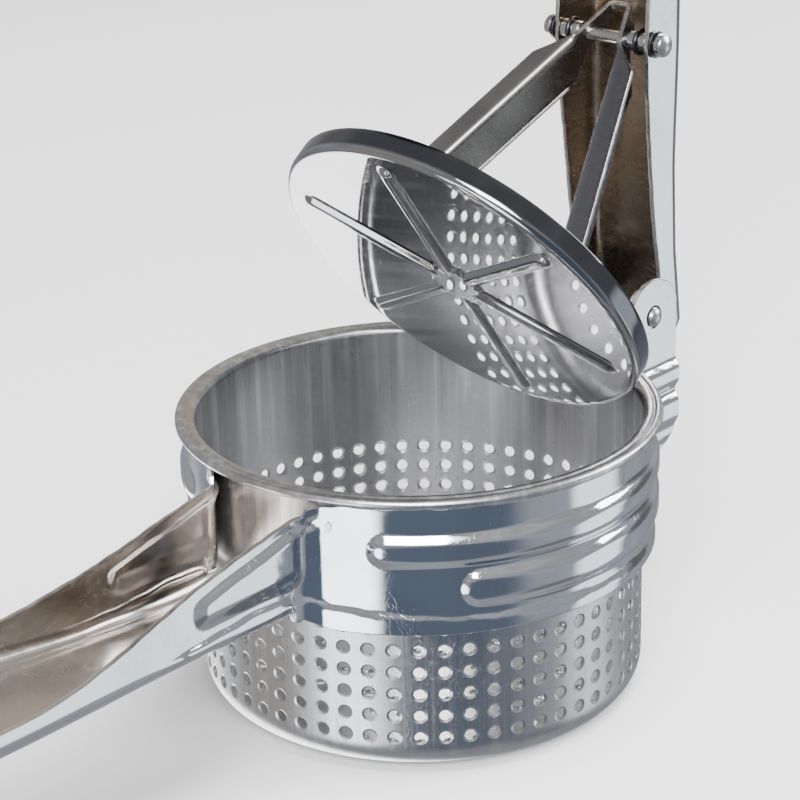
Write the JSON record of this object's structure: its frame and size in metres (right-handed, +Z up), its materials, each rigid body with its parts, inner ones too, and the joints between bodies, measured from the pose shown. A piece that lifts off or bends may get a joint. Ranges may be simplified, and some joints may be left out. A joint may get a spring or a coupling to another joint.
{
  "type": "potato ricer",
  "caption": "Hand press for cooked potato: perforated cup in a channel-handled frame, with a hinged lever that drives a ribbed pressing disc into the cup.",
  "frame": {"origin": "centre of the cup's underside, on the surface the ricer stands on", "axes": "+X towards the hinge, -X along the lower handle, +Z up along the cup's axis"},
  "size_m": [0.296, 0.094, 0.275],
  "materials": {
    "satin_steel": "fine drawn satin with upright scratches",
    "bright_steel": "mirror polished, lightly worn",
    "strap_steel": "bright rolled strap with sheared edges",
    "pin_steel": "turned, semi-bright",
    "clip_steel": "dark oiled spring steel"
  },
  "bodies": {
    "frame": {"lower_frame": "bright_steel", "hinge_pin": "pin_steel", "hinge_washers": "pin_steel"},
    "cup": {"basket": "satin_steel"},
    "lever": {"upper_lever": "bright_steel", "cross_pin": "pin_steel", "pin_clips": "clip_steel", "pin_bushes": "pin_steel"},
    "plunger": {"yoke": "strap_steel", "pressing_disc": "bright_steel"}
  },
  "joints": [
    {"name": "lever_hinge", "type": "hinge", "parent": "frame", "child": "lever", "pos_m": [0.0583, 0, 0.06055], "axis": [0, -1, 0], "range_deg": [0, 80]},
    {"name": "plunger_swing", "type": "hinge", "parent": "lever", "child": "plunger", "pos_m": [0.0588, 0, 0.11725], "axis": [0, -1, 0], "range_deg": [-30.5, 0]},
    {"name": "cup_turn", "type": "hinge", "parent": "frame", "child": "cup", "pos_m": [0, 0, 0.045], "axis": [0, 0, 1], "continuous": true}
  ],
  "couplings": [
    {"joint": "plunger_swing", "follows": "lever_hinge", "ratio": -0.376}
  ]
}
